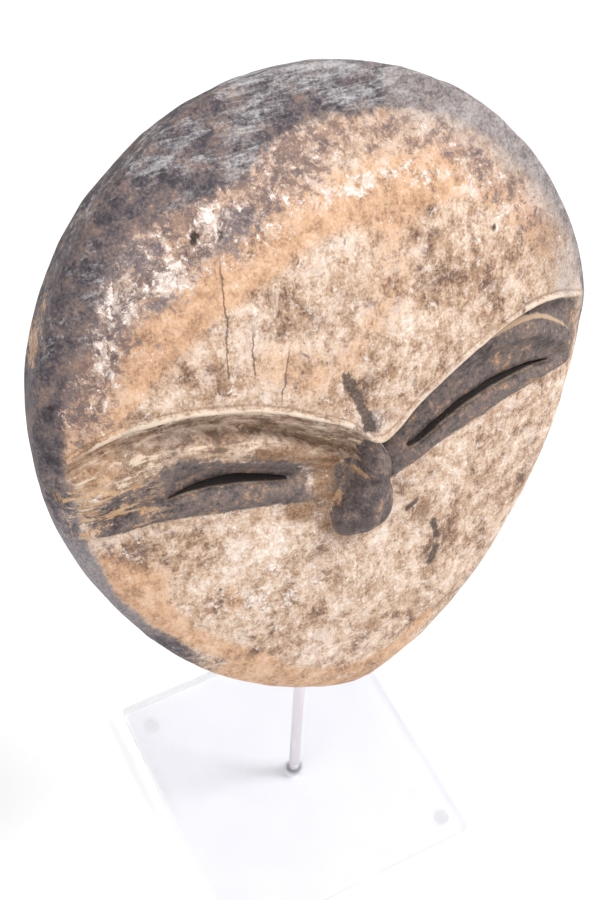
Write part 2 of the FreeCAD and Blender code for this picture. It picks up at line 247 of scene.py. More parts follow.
ridge_lift = lift_line([(-108, 2.4), (-95, 4.2), (-30, 4.6), (-16, 1.4), (0, 0), (16, -3),
                        (40, -2.2), (55, -1), (66, 2.2), (84, 3), (96, 2.4), (108, 1.5)])
crease_lift = lift_line([(-108, 1.2), (-80, 3.8), (-30, 4.0), (-16, 0.8), (0, -1), (16, -5.5),
                         (40, -3.6), (60, -2.2), (75, -0.6), (90, 0.8), (108, 1)])
groove_lift = lift_line([(-108, 0.2), (-70, -1.8), (-25, -2.8), (-14, -3.2), (0, -1), (14, -5.5),
                         (40, -2.4), (62, -1.2), (108, 0)])
lower_lift = 2.2 * lift_line(NOSE_FADE)
slit_lift = lift_line([(-108, 0), (-80, -0.5), (-62, -2.4), (-30, -2.4), (-18, -0.5), (0, 0),
                       (14, -2.5), (70, -2), (90, -0.5), (108, 0)])
zero = np.zeros(COLUMNS)

# (height up the face, lift, share of the forehead, rows up to the next line)
FACE_ROWS = [
    (arc_line(-1), zero, 0.0, 44),
    (face_line([(-108, -70), (0, -86), (108, -70)]), zero, 0.0, 36),
    (lid_foot - 4, zero, 0.0, 5),
    (lid_foot, zero + 0.1, 0.0, 4),
    ((lid_foot + slit_lower) / 2 + 0.4, lower_lift, 0.0, 3),
    (slit_lower, 0.5 * lower_lift, 0.0, 1),
    (slit_upper, slit_lift, 0.0, 6),
    (crease, crease_lift, 0.0, 5),
    (ridge_low, ridge_lift + 0.4, 0.0, 3),
    (ridge_top, ridge_lift - 0.4, 0.0, 3),
    (groove, groove_lift, 0.0, 5),
    (lip - 1.8, zero - 2.2, 0.85, 3),
    (lip, zero + 0.8, 1.0, 3),
    (lip + 2.4, zero - 0.1, 1.0, 2),
    (lip + 5.0, zero + 0.2, 1.0, 27),
    (face_line([(-108, 36), (0, 50), (108, 36)]), zero, 1.0, 50),
    (arc_line(1), zero, 1.0, 0),
]


def fill_rows(lines, counts):
    """Monotone cubic through the lines: Hermite curves whose slopes are the harmonic mean."""
    lines = np.array(lines, float)
    step = np.array(counts[:-1], float)[:, None]
    slope = np.diff(lines, axis=0) / step
    product = slope[:-1] * slope[1:]
    mean = np.where(product > 0, 2 * product / (slope[:-1] + slope[1:] + 1e-12), 0.0)
    tangent = np.concatenate([slope[:1], mean, slope[-1:]])
    rows = []
    for k, count in enumerate(counts[:-1]):
        t = (np.arange(count) / count)[:, None]
        h00, h10 = 2 * t ** 3 - 3 * t ** 2 + 1, t ** 3 - 2 * t ** 2 + t
        h01, h11 = -2 * t ** 3 + 3 * t ** 2, t ** 3 - t ** 2
        rows.append(h00 * lines[k] + h01 * lines[k + 1]
                    + count * (h10 * tangent[k] + h11 * tangent[k + 1]))
    rows.append(lines[-1:])
    return np.concatenate(rows)


row_counts = [entry[3] for entry in FACE_ROWS]
W = fill_rows([entry[0] for entry in FACE_ROWS], row_counts)
LIFT = fill_rows([entry[1] for entry in FACE_ROWS], row_counts)
SHARE = fill_rows([zero + entry[2] for entry in FACE_ROWS], row_counts)
ROWS = len(W)
SLIT_ROW = sum(row_counts[:5])
print("face grid", ROWS, "rows x", COLUMNS, "columns, slit row", SLIT_ROW)

# %% [markdown]
# ## The nose
# The nose is a pear with a small bead on top, joined to the brow. Its ridge line and its half
# width are drawn down the face, its cross-section is nearly half an ellipse, and a soft maximum
# sets it into the face without a hard seam.

# %% Nose: (height up the face, value), from the tip up to the bridge
NOSE_RIDGE = [(-53, 37), (-51, 40.5), (-48, 44.5), (-43, 48), (-37, 49.4), (-31, 48.6),
              (-27, 46.5), (-22, 45), (-14, 43.5), (-8, 42), (-3, 39)]
NOSE_HALF = [(-53, 7), (-50, 10), (-46, 12.4), (-41, 13), (-36, 12), (-31, 9.6), (-26, 6.6),
             (-20, 5), (-12, 4), (-3, 3)]
NOSE_MIDDLE = [(-53, 1), (-42, 1), (-32, 2.5), (-22, 6), (-10, 6), (-3, 4)]
BEAD_MIDDLE = (5.4, -20.6)
BEAD_RADIUS = (5.8, 6.2)
BEAD_TOP = 51.0
BEAD_BASE = 42.0
NOSE_POWER = 2.3             # of its cross-section; 2 would be an ellipse
SINK = 3                     # millimetres under the face, where a nose or bead has no part
BEAD_SEAM = 0.8              # softness of the seams of the bead and of the nose
NOSE_SEAM = 1.2
SEAM_RISE = 0.12             # what the soft maximum adds all over the face, taken off again


def soft_max(first, second, blend):
    """The larger of two heights, rounded where they meet: (a + b + sqrt((a - b)^2 + k^2)) / 2."""
    return (first + second + np.sqrt((first - second) ** 2 + blend ** 2)) / 2


def down_the_nose(points, w):
    """A value drawn down the nose, read off at height w."""
    height, value = np.array(points, float).T
    return np.interp(w, height, value)


def nose_height(u, w, ground):
    """An arch across the nose from a sunk ground to the ridge: sqrt(1 - |x|^power)."""
    x = (u - down_the_nose(NOSE_MIDDLE, w)) / down_the_nose(NOSE_HALF, w)
    ridge = down_the_nose(NOSE_RIDGE, w)
    inside = (np.abs(x) < 1) & (w > NOSE_RIDGE[0][0]) & (w < NOSE_RIDGE[-1][0])
    arch = np.clip(1 - np.abs(x) ** NOSE_POWER, 0, 1) ** 0.5
    return ground - SINK + np.where(inside, (ridge - ground + SINK) * arch, 0)


def bead_height(u, w, ground):
    """Half an ellipsoid on the bridge of the nose: base + (top - base) sqrt(1 - x^2 - y^2)."""
    x = (u - BEAD_MIDDLE[0]) / BEAD_RADIUS[0]
    y = (w - BEAD_MIDDLE[1]) / BEAD_RADIUS[1]
    square = x ** 2 + y ** 2
    dome = BEAD_BASE + (BEAD_TOP - BEAD_BASE) * np.sqrt(np.clip(1 - square, 0, 1))
    return np.where(square < 1, dome, ground - SINK)


# %% Face surface
left_half = outline_half_width(W[:, :1], EDGE_SHARE)
right_half = outline_half_width(W[:, -1:], EDGE_SHARE)
U = np.where(across < 0, across * left_half, across * right_half)
radius = outline_radius(U, W)
cheek_dome = face_dome(U, W, CHEEK_HEIGHT, CHEEK_EDGE, CHEEK_EDGE)
brow_dome = face_dome(U, W, FOREHEAD_HEIGHT, SIDE_DEPTH, CROWN_DEPTH)
roll = shoulder(W, radius)
ground = (cheek_dome + (brow_dome - cheek_dome) * SHARE) * roll
fade_out = smooth_step(1 - radius / EDGE_SHARE, 0.0, 0.06)
face_v = ground + LIFT * fade_out
nose_v = soft_max(nose_height(U, W, face_v), bead_height(U, W, face_v), BEAD_SEAM)
face_v = soft_max(face_v, nose_v, NOSE_SEAM) - SEAM_RISE
print("face height", round(float(face_v.min()), 1), "to", round(float(face_v.max()), 1), "mm")

# %% [markdown]
# ## Wall, rim and hollow
# From the edge of the face a ring of columns runs over the shoulder, down the side wall, across
# the back rim and up into the hollow. The roof of the hollow uses the same grid as the face, one
# wall thickness behind it, so the slits can be joined through the wood point to point.

# %% Ring columns and the roof of the hollow
WALL_ROWS = 13
RIM_ROWS = 3
INNER_ROWS = 8
INNER_POWER = 14.0           # the hollow's roof meets its walls in a tight corner


def grid_border(grid):
    """The grid's outermost points, once round: bottom row, right side, top row, left side."""
    return np.concatenate([grid[0, :-1], grid[:-1, -1], grid[-1, :0:-1], grid[:0:-1, 0]])


def flared(u, w, v):
    """The front is a little wider than the back: u and w grow with the height v."""
    grow = (1 + FLARE * v / SIDE_DEPTH) * hand_cut(u, w, outline_radius(u, w))
    return np.stack([u * grow, w * grow, v], axis=-1)


def inset_radially(u, w):
    """Inner grid: shrinks only near the outline, by the rim's width."""
    share = (outline_radius(u, w) / EDGE_SHARE) ** 4
    return u * (1 - RIM_WALL / HALF_WIDTH * share), w * (1 - RIM_WALL / halves(w)[1] * share)


inner_u, inner_w = inset_radially(U, W)
# the slits rise a little on their way in, so that from above they look dark
SLIT_RISE = 3.0
by_the_slit = np.exp(-((inner_w - drawn_line(SLIT_UPPER, U)) / 12) ** 2)
by_the_slit *= smooth_step(np.abs(U), 6, 24) * (1 - smooth_step(np.abs(U), 80, 98))
inner_w = inner_w + SLIT_RISE * by_the_slit
inner_radius = outline_radius(inner_u, inner_w, RIM_WALL)
roof_share = smooth_step(inner_w, 18, 50)
roof_middle = CHEEK_HEIGHT + (FOREHEAD_HEIGHT - CHEEK_HEIGHT) * roof_share - FACE_WALL
roof_v = face_dome(inner_u, inner_w, roof_middle, CHEEK_EDGE - FACE_WALL, 0, RIM_WALL)
roof_v = roof_v * shoulder(inner_w, inner_radius, INNER_POWER, INNER_POWER)
roof_v = np.maximum(roof_v, 1.0)


def wall_rings(border_u, border_w, border_v, edge, crown_power, chin_power, count):
    """Rings from the back up to the border, each of radius (1 - (height / edge)^N)^(1/N)."""
    edge = np.maximum(edge, border_v + 0.3)
    power = crown_power + (chin_power - crown_power) * np.clip(-border_w / CHIN_DROP, 0, 1) ** 2
    start = (1 - np.clip(border_v / edge, 0, 1) ** power) ** (1 / power)
    found = []
    for slide in np.linspace(0, 1, count + 1)[:-1]:
        height = border_v * slide
        here = (1 - np.clip(height / edge, 0, 1) ** power) ** (1 / power)
        reach = 1 + (1 / EDGE_SHARE - 1) * np.clip((here - start) / (1 - start), 0, 1)
        found.append(flared(border_u * reach, border_w * reach, height))
    return found


border_u, border_w, border_v = grid_border(U), grid_border(W), grid_border(face_v)
border_edge = grid_border(cheek_dome + (brow_dome - cheek_dome) * SHARE)
outer_rings = wall_rings(border_u, border_w, border_v, border_edge, CROWN_ROUND, CHIN_ROUND,
                         WALL_ROWS)[::-1]
inner_edge = grid_border(
    face_dome(inner_u, inner_w, roof_middle, CHEEK_EDGE - FACE_WALL, 0, RIM_WALL))
inner_rings = wall_rings(grid_border(inner_u), grid_border(inner_w), grid_border(roof_v),
                         inner_edge, INNER_POWER, INNER_POWER, INNER_ROWS)
rim_step = (inner_rings[0] - outer_rings[-1]) / RIM_ROWS
rim_rings = [outer_rings[-1] + rim_step * k for k in range(1, RIM_ROWS)]
rings = outer_rings + rim_rings + inner_rings
print("rings", len(rings), "of", len(border_u), "points")

# %% [markdown]
# ## One closed mesh
# All points go into one array: the face, the rings and the roof. Faces are index grids. The quads
# between the two slit rows are left out over the length of each slit, and a short tunnel of quads
# joins the face to the roof there, so the eyes can be looked through.

# %% Points and quads of the mask
SLITS = [(-70, -25), (22, 88)]
TUNNEL_ROWS = 4
LASH_DOWN = 21.0             # a lashing slot's middle: below the widest line of the mask
LASH_IN = 9.0                # and in from the back
LASH_WIDTH = 4.0
LASH_LENGTH = 10.0

face_points = flared(U, W, face_v).reshape(-1, 3)
roof_points = flared(inner_u, inner_w, roof_v).reshape(-1, 3)
ring_points = np.concatenate(rings)
around = len(border_u)
face_index = np.arange(ROWS * COLUMNS).reshape(ROWS, COLUMNS)
ring_start = ROWS * COLUMNS
ring_index = ring_start + np.arange(len(rings) * around).reshape(len(rings), around)
roof_start = ring_start + len(rings) * around
roof_index = roof_start + np.arange(ROWS * COLUMNS).reshape(ROWS, COLUMNS)
points = np.concatenate([face_points, ring_points, roof_points])


def quads_of(index, keep=None):
    """Index grid to quads, turned so that they face the viewer when u runs right and w up."""
    quads = np.stack([index[:-1, :-1], index[:-1, 1:], index[1:, 1:], index[1:, :-1]], axis=-1)
    return quads.reshape(-1, 4) if keep is None else quads[keep]


keep = np.ones((ROWS - 1, COLUMNS - 1), bool)
slit_columns = []
for low, high in SLITS:
    inside = np.nonzero((U[SLIT_ROW] > low) & (U[SLIT_ROW] < high))[0]
    keep[SLIT_ROW, inside[0]:inside[-1]] = False
    slit_columns.append((inside[0], inside[-1]))
face_quads = quads_of(face_index, keep)
roof_quads = quads_of(roof_index, keep)[:, ::-1]
loop = np.concatenate([[grid_border(face_index)], ring_index, [grid_border(roof_index)]])
loop = np.concatenate([loop, loop[:, :1]], axis=1)
closed = np.ones((loop.shape[0] - 1, loop.shape[1] - 1), bool)


def tunnel(front, back, rows):
    """Quads through the wood from one loop of points to another of the same length."""
    global points
    layers = [front]
    for step in range(1, rows):
        share = step / rows
        layers.append(len(points) + np.arange(len(front)))
        points = np.concatenate([points, points[front] * (1 - share) + points[back] * share])
    tube = np.array(layers + [back])
    return quads_of(np.concatenate([tube, tube[:, :1]], axis=1))


tunnel_quads = []
for first, last in slit_columns:
    front = np.concatenate([face_index[SLIT_ROW, first:last + 1],
                            face_index[SLIT_ROW + 1, first:last + 1][::-1]])
    tunnel_quads.append(tunnel(front, front + roof_start, TUNNEL_ROWS))
for side in (-1, 1):
    wanted = (border_u * side > 60) & (np.abs(border_w + LASH_DOWN) < LASH_LENGTH / 2)
    columns = np.nonzero(wanted)[0]
    first, last = columns[0], columns[-1]
    outer_row = 1 + int(np.argmin([abs(ring[first, 2] - LASH_IN - LASH_WIDTH / 2)
                                   for ring in outer_rings]))
    inner_row = 1 + len(outer_rings) + len(rim_rings) + int(
        np.argmin([abs(ring[first, 2] - LASH_IN + LASH_WIDTH / 2) for ring in inner_rings]))
    closed[outer_row:outer_row + 2, first:last] = False
    closed[inner_row:inner_row + 2, first:last] = False
    mouths = []
    for top, middle, low in ((outer_row, outer_row + 1, outer_row + 2),
                             (inner_row + 2, inner_row + 1, inner_row)):
        mouths.append(np.concatenate([
            loop[low, first:last + 1], [loop[middle, last]],
            loop[top, first:last + 1][::-1], [loop[middle, first]]]))
    tunnel_quads.append(tunnel(mouths[0], mouths[1], 2))
ring_quads = quads_of(loop, closed)[:, ::-1]
mask_quads = np.concatenate([face_quads, roof_quads, ring_quads] + tunnel_quads)
print("mask", len(points), "points,", len(mask_quads), "quads")

# %% Lean the mask back and make the mesh
def lean_back(carved):
    """Leans the carving plane back: y = y0 + w sin - v cos, z = z0 + w cos + v sin."""
    u, w, v = carved.T
    y = BACK_Y + w * math.sin(LEAN) - v * math.cos(LEAN)
    z = CENTRE_Z + w * math.cos(LEAN) + v * math.sin(LEAN)
    return np.stack([u, y, z], axis=-1) * MM


def make_piece(name, vertices, quads):
    """A smooth-shaded mesh object, linked into the scene."""
    mesh = bpy.data.meshes.new(name)
    mesh.from_pydata(vertices.tolist(), [], quads.tolist())
    mesh.validate()
    mesh.shade_smooth()
    piece = bpy.data.objects.new(name, mesh)
    bpy.context.scene.collection.objects.link(piece)
    return piece


mask = make_piece("carved_mask", lean_back(points), mask_quads)
low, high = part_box("mask_body")
for label, corners in (("carved", (mask.bound_box[0], mask.bound_box[6])), ("CAD", (low, high))):
    print(label, "box", [[round(x, 4) for x in corner] for corner in corners])

# %% [markdown]
# ## Tool marks
# No carved surface is true. Smooth random values on a lattice, blended between the lattice's
# corners, push the wood in and out by a fraction of a millimetre at three sizes. Inside the hollow
# the gouge left longer, deeper marks, which only ever take wood away.

# %% Push the surface along its normals
def value_noise(position, size, seed):
    """Random values from -1 to 1 at lattice corners, blended with the smooth step between them."""
    cell = position / size
    corner = np.floor(cell).astype(np.int64)
    share = cell - corner
    share = share * share * (3 - 2 * share)
    table = np.random.default_rng(seed).uniform(-1, 1, 4096)
    total = np.zeros(len(position))
    for i in (0, 1):
        for j in (0, 1):
            for k in (0, 1):
                x, y, z = (corner + (i, j, k)).T
                key = (x * 73856093) ^ (y * 19349663) ^ (z * 83492791)
                weight = np.abs(1 - i - share[:, 0]) * np.abs(1 - j - share[:, 1])
                total += weight * np.abs(1 - k - share[:, 2]) * table[key & 4095]
    return total


count = len(points)
face_end = ROWS * COLUMNS
outer_end = face_end + len(outer_rings) * around
hollow = np.zeros(count)
hollow[outer_end:roof_start + ROWS * COLUMNS] = 1
KNOT = (-46, 81.5)           # a fallen-out knot high on the left: its place and its depth
KNOT_DEPTH = 2.2
knot = np.exp(-((points[:, 0] - KNOT[0]) / 2.6) ** 2 - ((points[:, 1] - KNOT[1]) / 2.0) ** 2)
push = (0.34 * value_noise(points, np.array([20, 26, 20]), 1)
        + 0.22 * value_noise(points, np.array([8, 13, 8]), 2)
        + 0.12 * value_noise(points, np.array([3, 6, 3]), 3))
push -= np.where(points[:, 2] > 30, KNOT_DEPTH * knot, 0) * (1 - hollow)
gouge = -0.35 - 0.75 * np.abs(value_noise(points, np.array([8, 22, 8]), 4)) ** 0.7
push = np.where(hollow > 0, gouge, push)
normals = np.zeros(count * 3)
mask.data.vertex_normals.foreach_get("vector", normals)
placed = lean_back(points) + normals.reshape(-1, 3) * push[:, None] * MM
mask.data.vertices.foreach_set("co", placed.ravel())
mask.data.update()
print("pushed by", round(float(push.min()), 2), "to", round(float(push.max()), 2), "mm")

# %% [markdown]
# ## Where each coat of paint lies
# The coats are fields over the carving plane, one value for each point of the mesh: distance to a
# drawn line or to a spot, faded out softly. The material breaks their edges up with noise, so
# here they only need to say where a coat once was and how much of it wear has left. A few of
# them say instead where shade, a shadow or a highlight is painted.

# %% Brushes for the fields
plane = points[:, :2]
plane_u, plane_w, height_up = points.T
outside = 1 - hollow


def spots(*marks):
    """Marks (u, w, reach across, reach up, strength): the sum of strength exp(-x^2 - y^2)."""
    return sum(strength * np.exp(-((plane_u - u) / reach_u) ** 2 - ((plane_w - w) / reach_w) ** 2)
               for u, w, reach_u, reach_w, strength in marks)


def distance_to(line):
    """Millimetres from each point to the nearest of a line's straight runs."""
    nearest = np.full(count, 1e9)
    line = np.array(line, float)
    for start, end in zip(line[:-1], line[1:]):
        run = end - start
        share = np.clip(((plane - start) @ run) / (run @ run), 0, 1)
        gap = plane - start - share[:, None] * run
        nearest = np.minimum(nearest, (gap ** 2).sum(axis=1))
    return np.sqrt(nearest)


def strokes(*marks):
    """Marks (line, reach, strength): the sum of strength exp(-(distance / reach)^2)."""
    return sum(strength * np.exp(-(distance_to(line) / reach) ** 2)
               for line, reach, strength in marks)


def within(outline):
    """True inside a closed outline, which a ray upwards crosses an odd number of times."""
    inside = np.zeros(count, bool)
    for (x0, y0), (x1, y1) in zip(outline, outline[1:] + outline[:1]):
        slope = (y1 - y0) / (x1 - x0) if x1 != x0 else 0.0
        inside ^= ((x0 > plane_u) != (x1 > plane_u)) & (plane_w < y0 + slope * (plane_u - x0))
    return inside


print("brushes ready for", count, "points")

# %% [markdown]
# ## Soot and grey
# The dark zone starts at the edge of the face: the distance to that closed line, positive
# outside it, is cut by a soft step. A grey that is paler towards the right and along the top edge,
# silt and rubbed patches belong to it.

# %% Soot on the crown and the walls, and what lies over it
FACE_EDGE = [(21, -134), (6, -139), (-11, -139), (-32, -126), (-56, -106), (-70, -93), (-89, -70),
             (-99, -50), (-105, -22), (-107, 8), (-104, 34), (-98, 52), (-86, 66), (-78, 79),
             (-68, 88), (-54, 92), (-41, 93), (-29, 96), (-18, 101), (-4, 106), (14, 106),
             (36, 103), (55, 98), (73, 84), (90, 64), (104, 40), (112, 8), (112, -20), (106, -55),
             (93, -84), (70, -112), (44, -134)]
apart = distance_to(FACE_EDGE + FACE_EDGE[:1])           # millimetres outside the face's edge
apart = np.where(within(FACE_EDGE), -apart, apart)
face_share = smooth_step(-apart, -2, 6)
ragged = 6 + 2 * smooth_step(plane_w, 15, 60)
sooty = smooth_step(apart, -ragged, 0.3 * ragged)
sooty *= 1 - 0.85 * smooth_step(plane_u, -86, -60) * smooth_step(-plane_w, 60, 90)
low_wall = smooth_step(-height_up, -23, -17) * smooth_step(plane_u, -30, 0)
sooty = np.maximum(sooty, 0.95 * low_wall * smooth_step(-plane_w, -30, 0) * outside)
crown = smooth_step(plane_w, 20, 80) * outside
grey = 0.6 * smooth_step(plane_u, -10, 75) * smooth_step(plane_w, -30, 30) * outside
grey += smooth_step(plane_w, 104, 122) * smooth_step(plane_u, -55, -5)
grey += spots((-48, 112, 24, 10, 0.25), (-8, 110, 24, 8, 0.3))
silt = np.exp(-((plane_w + 40) / 42) ** 2) * smooth_step(-plane_u, 40, 80) * outside
veil = smooth_step(plane_u, 8, 68) * smooth_step(apart, -15, 0) * smooth_step(plane_w, -10, 30)
veil = np.maximum(veil, spots((98, 26, 12, 20, 0.75))) * outside
wall_side = smooth_step(-height_up, -24, -18) * outside
lashed = np.exp(-((plane_w + LASH_DOWN - 2) / 7) ** 2 - ((height_up - LASH_IN - 4) / 7) ** 2)
rubbed = wall_side * (spots((-103, 52, 8, 10, 0.7), (-100, 66, 8, 6, 0.5))
                      + (1 + 0.5 * wall_side) * lashed)
print("sooty share", round(float(sooty.mean()), 2))

# %% [markdown]
# ## Ochre, lime and dirt
# Ochre follows three drawn lines, lime sits in clumps, and the mottled band runs under the
# soot's edge.

# %% Ochre, lime and mottled clay
OCHRE_ARC = [(-97, 20), (-92, 33), (-83, 39), (-72, 48), (-59, 56), (-43, 64), (-24, 71),
             (-11, 77), (9, 80), (25, 79), (40, 78)]
OCHRE_TAIL = [(40, 78), (58, 69), (72, 59), (84, 44), (94, 24)]
CHIN_EDGE = [(-97, -34), (-90, -52), (-77, -78), (-63, -95), (-47, -111), (-25, -128), (-2, -134),
             (16, -132), (32, -120)]
MOTTLED = [(-98, 36), (-88, 56), (-74, 72), (-52, 82), (-30, 89), (-12, 97)]
MOTTLED_RIGHT = [(-12, 98), (12, 98), (36, 94), (54, 84), (70, 68), (86, 48)]
LIME_CLUMPS = [
    (-21, 78, 6, 5, 0.9), (-4, 84, 8, 4.5, 1.0), (-42, 85, 5, 5, 0.8), (-33, 71.5, 6, 3, 1.0),
    (-56, 71, 11, 6, 0.9), (-75, 68, 6, 5, 0.75), (-84, 56, 5, 8, 0.6), (-86, 47, 4, 4, 0.5),
    (12, 84, 9, 4, 0.9), (27, 84, 9, 4, 0.85), (42, 78, 9, 4, 0.8), (56, 69, 8, 5, 0.7),
    (68, 58, 7, 7, 0.5), (-52, -36, 7, 17, 0.8), (-48, -72, 16, 12, 0.6), (-20, -62, 26, 14, 0.55),
    (20, -80, 16, 25, 0.2), (60, 5, 30, 10, 0.2), (-88, -30, 5, 3, 0.6), (-62, 19, 9, 3, 0.4),
    (-84, 25, 4, 3, 0.5)]
ochre = strokes((OCHRE_ARC, 8, 1.1), (OCHRE_TAIL, 7, 0.45), (CHIN_EDGE[:5], 8, 1.0),
                (CHIN_EDGE[4:], 4.5, 0.9), ([(-96, -2), (-84, 4), (-70, 6)], 6, 0.35),
                ([(24, 76), (20, 60), (14, 42), (-2, 26), (-14, 24)], 12, 0.5))
ochre += spots((-94, 28, 11, 12, 0.9), (-88, -46, 13, 10, 0.7), (-54, -66, 5, 9, 0.65),
               (-28, 34, 12, 14, 0.45), (-55, 34, 16, 10, 0.3), (50, 38, 22, 16, 0.3),
               (40, -100, 20, 14, 0.3))
ochre += 0.9 * smooth_step(apart, -2, 2) * smooth_step(-plane_w, 100, 120)
ochre = np.clip(ochre, 0, 1) * np.maximum(face_share, smooth_step(-plane_w, 90, 112) * outside)
mottle = strokes((MOTTLED, 13, 1.2), (MOTTLED_RIGHT, 8, 0.75))
mottle += spots((-87, 60, 9, 16, 0.5), (-95, 42, 8, 14, 0.45))
mottle = np.clip(mottle, 0, 1) * smooth_step(-apart, -6, 4)
flakes = np.clip(np.clip(spots(*LIME_CLUMPS), 0, 1) + 0.3 * mottle, 0, 1)
ochre += spots((-40, 90, 7, 4, 0.7), (-54, 80, 5, 5, 0.6), (-97, 14, 8, 12, 0.8)) + 0.34 * mottle
ochre = np.clip(ochre, 0, 1)
tan = 0.8 * mottle
mottle += spots((-88, -28, 14, 6, 0.5), (-98, -34, 6, 10, 0.4), (-78, 24, 9, 5, 0.35))
bruise = spots((-31, 84, 9, 5, 0.85), (-37, 78, 7, 4, 0.7), (-66, 81, 12, 6, 0.85),
               (-60, 65, 9, 4, 0.55), (-80, 76, 6, 6, 0.6), (6, -3, 8, 6, 0.8),
               (-92, 62, 9, 9, 0.6), (-99, 44, 5, 12, 0.5), (-76, 64, 9, 8, 0.6))
worn = spots((5, 52, 34, 20, 0.4), (50, 50, 34, 24, 0.6), (-70, -66, 22, 22, 0.4),
             (-50, 30, 28, 12, 0.35), (-80, -28, 24, 9, 0.6), (-84, -30, 20, 8, 0.4),
             (55, -60, 25, 30, 0.4), (-10, -105, 30, 14, 0.35), (-5, 10, 25, 10, 0.4))
worn += strokes(([(-70, -24), (-40, -32), (-22, -38)], 4, 0.5))
print("ochre share", round(float(ochre.mean()), 2), "lime clumps", len(LIME_CLUMPS))

# %% [markdown]
# ## The eyes
# Lids, folds and brows are bands between the drawn lines of the relief, so paint and carving
# can't part. Some bands are painted light: painted shade in the groove and the fold under the left
# brow, painted highlights along the brow lip and the right ridge, and painted shade inside the
# slits.

# %% The eyes: bands between the drawn lines, on the face grid only
grid_u, grid_w = U.ravel(), W.ravel()
foot_line, crease_line, groove_line, brow_line = (
    drawn_line(line, grid_u) for line in (LID_FOOT, LID_CREASE, GROOVE, BROW_LIP))
right_side = smooth_step(grid_u, 4, 10)


def on_grid(values):
    """A value for each face point, and none anywhere else on the mask."""
    field = np.zeros(count)
    field[:face_end] = values
    return field


def line_at(height, width):
    """1 on a line across the face, falling as exp(-(distance / width)^2)."""
    return np.exp(-((grid_w - height) / width) ** 2)


lid_top = crease_line + (brow_line - 2.5 - crease_line) * right_side
lid_top += 3.5 * smooth_step(-grid_u, 44, 70) * (1 - right_side)
ragged_top = 2.2 + 3.6 * (1 - right_side)
band = smooth_step(grid_w - foot_line, -1.8, 2.2)
band *= smooth_step(lid_top - grid_w + 0.6, -ragged_top, ragged_top)
span = smooth_step(grid_u, -106, -84) * (1 - smooth_step(grid_u, 92, 108))
lids = on_grid(band * span * (1 - 0.75 * np.exp(-((grid_u + 13) / 9) ** 2)))
# painted highlight: a pale line on the crest of the ridge at the outer end of the right eye
ridge_highlight = on_grid(line_at(groove_line - np.where(grid_u > 0, 2.6, 2.0), 1.0)
                     * smooth_step(grid_u, 50, 62) * (1 - smooth_step(grid_u, 92, 100)))
fringe = on_grid(line_at(crease_line + 0.6, 2.2) * (1 - right_side))
ochre = np.clip(ochre + 0.62 * fringe, 0, 1)
# painted shade in the groove under the left brow lip, stronger towards the nose
brow_groove_shade = on_grid(line_at(groove_line + 2.0, 3.0) * (1 - right_side)
                     * (0.35 + 0.65 * smooth_step(grid_u, -90, -20)))
# painted highlight: a pale line along the crest of the brow lip and down the right side of the
# bead, where light catches the edges
brow_edge_highlight = on_grid(line_at(brow_line + 0.3, 1.0) * (1 - 0.6 * np.exp(-((grid_u - 4) / 12) ** 2))
                    * (1 - smooth_step(np.abs(grid_u), 84, 100)))
brow_edge_highlight += strokes(([(8, -12), (11.5, -17), (12.3, -22), (10, -28)], 0.9, outside))
cord_line = on_grid(line_at(brow_line + 2.4, 0.8))
# painted shade with a dusty tint over the recessed fold from the lid's crease up to the brow lip
dusty_fold_shade = on_grid(smooth_step(grid_w - crease_line, -1, 2) * smooth_step(brow_line - grid_w, -2, 1.5))
# painted shade: the points inside the eye-slit tunnels and the lashing slots are painted near
# black, for the dark inside the openings
slit = np.zeros(count)
slit[roof_start + ROWS * COLUMNS:] = 1
nose = on_grid(smooth_step((nose_v - (ground + LIFT * fade_out)).ravel(), -2.0, 0.5))
# a place along and across each lid and fold, so that streaks can follow them
fold_share = (grid_w - foot_line) / (brow_line - foot_line)
streak_place = np.zeros((count, 3))
streak_place[:face_end, 0] = 13 * fold_share
streak_place[:face_end, 1] = 0.075 * grid_u
streaky = on_grid(smooth_step(fold_share, 0.05, 0.2) * smooth_step(1.12 - fold_share, 0, 0.12)
                  * (1 - right_side))
ends = on_grid(smooth_step(-grid_u, 62, 86) * smooth_step(fold_share, -0.05, 0.1)
               * (1 - smooth_step(fold_share, 0.6, 0.9)))
print("lids cover", int((lids > 0.5).sum()), "points")

# %% [markdown]
# ## Stains and painted shadows
# Small stains, rust-brown painted shadows beside the nose and under the left brow, a dark painted
# shadow in the inner corner of the right eye, and chipped spots are strokes and spots of their
# own.

# %% Stains, painted shadows among brown marks, and chips
stain = strokes(([(-4, 20), (-1, 12), (1, 5), (4, -4)], 2.8, 0.9),
                ([(34, -67), (36, -76)], 2, 0.9), ([(35, -82), (32, -89)], 2.4, 0.9),
                ([(22, -54.5), (26, -52.5)], 1.8, 0.9))
stain += spots((-72, 18.5, 3, 2, 0.7), (-15, -34, 5, 6, 0.5))
# painted shadow: rust brown along the inner end of the left eye and down the left side of the
# nose, and two spots by the nose's bulb, as if the nose shades the face from a light on the right;
# the spots low on the right cheek and on the right temple only add brown
brown_and_painted_shadow = strokes(([(-38, -2), (-24, -8), (-12, -18), (-12, -28)], 4, 0.9),
                ([(-10, -20), (-13, -32), (-14, -46), (-4, -54)], 4.5, 0.9))
brown_and_painted_shadow += spots((-22, -36, 9, 6, 1), (-13, -26, 5, 7, 1), (30, -59, 4, 7, 0.9),
               (88, 44, 14, 22, 0.5))
# painted shade in the groove under the left brow adds to the painted shadow here; the thin line
# above the brow lip only adds brown
brown_and_painted_shadow += 0.5 * brow_groove_shade + 0.6 * cord_line
